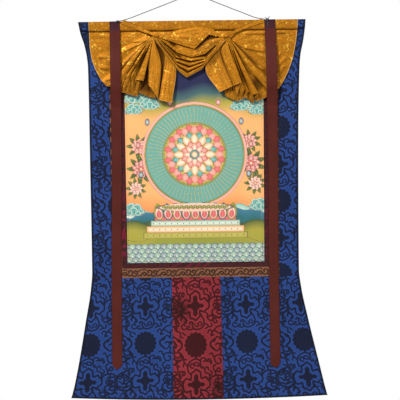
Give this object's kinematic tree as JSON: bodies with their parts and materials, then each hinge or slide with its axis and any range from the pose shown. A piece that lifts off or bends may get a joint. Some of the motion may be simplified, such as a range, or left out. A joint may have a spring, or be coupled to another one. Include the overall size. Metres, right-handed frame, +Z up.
{
  "type": "thangka scroll painting",
  "caption": "Hanging scroll: painted panel in two brocade borders on a flared brocade mount, with a swagged gold veil, two ribbons and a hanging cord.",
  "frame": {"origin": "the point of the hanging cord that lies on the nail, in the plane of the top hem's middle", "axes": "+X to the right as seen from the front, +Z up, the painted front faces -Y and the back faces the wall at +Y"},
  "size_m": [0.769, 0.0281, 1.2193],
  "materials": {
    "blue_brocade": "satin brocade, dark blue with navy scrolls and lotus rounds",
    "red_brocade": "satin brocade, deep red with darker scrolls and rounds",
    "gold_brown_brocade": "brocade, gold-brown with dark scrolls",
    "dark_red_brocade": "brocade, dark red with small red scrolls",
    "painted_canvas": "matte mineral paint on primed cloth, with gold lines",
    "edge_binding": "plain dark folded strip",
    "gold_veil_silk": "soft gold silk with lighter yellow curls",
    "ribbon_silk": "plain maroon silk ribbon, fine cross rib",
    "grey_cord": "thin twisted grey cord"
  },
  "bodies": {
    "root": {"heading": "blue_brocade", "side_strip_left": "blue_brocade", "side_strip_right": "blue_brocade", "foot_panel_left": "blue_brocade", "foot_panel_right": "blue_brocade", "red_door": "red_brocade", "gold_border_left": "gold_brown_brocade", "gold_border_right": "gold_brown_brocade", "gold_border_top": "gold_brown_brocade", "gold_border_foot": "gold_brown_brocade", "red_border_left": "dark_red_brocade", "red_border_right": "dark_red_brocade", "red_border_top": "dark_red_brocade", "red_border_foot": "dark_red_brocade", "painting": "painted_canvas", "binding_left": "edge_binding", "binding_right": "edge_binding", "binding_foot": "edge_binding", "veil": "gold_veil_silk", "veil_tie_left": "gold_veil_silk", "veil_tie_right": "gold_veil_silk", "ribbon_left": "ribbon_silk", "ribbon_right": "ribbon_silk", "cord": "grey_cord", "cord_knot_left": "grey_cord", "cord_knot_right": "grey_cord"}
  },
  "joints": []
}
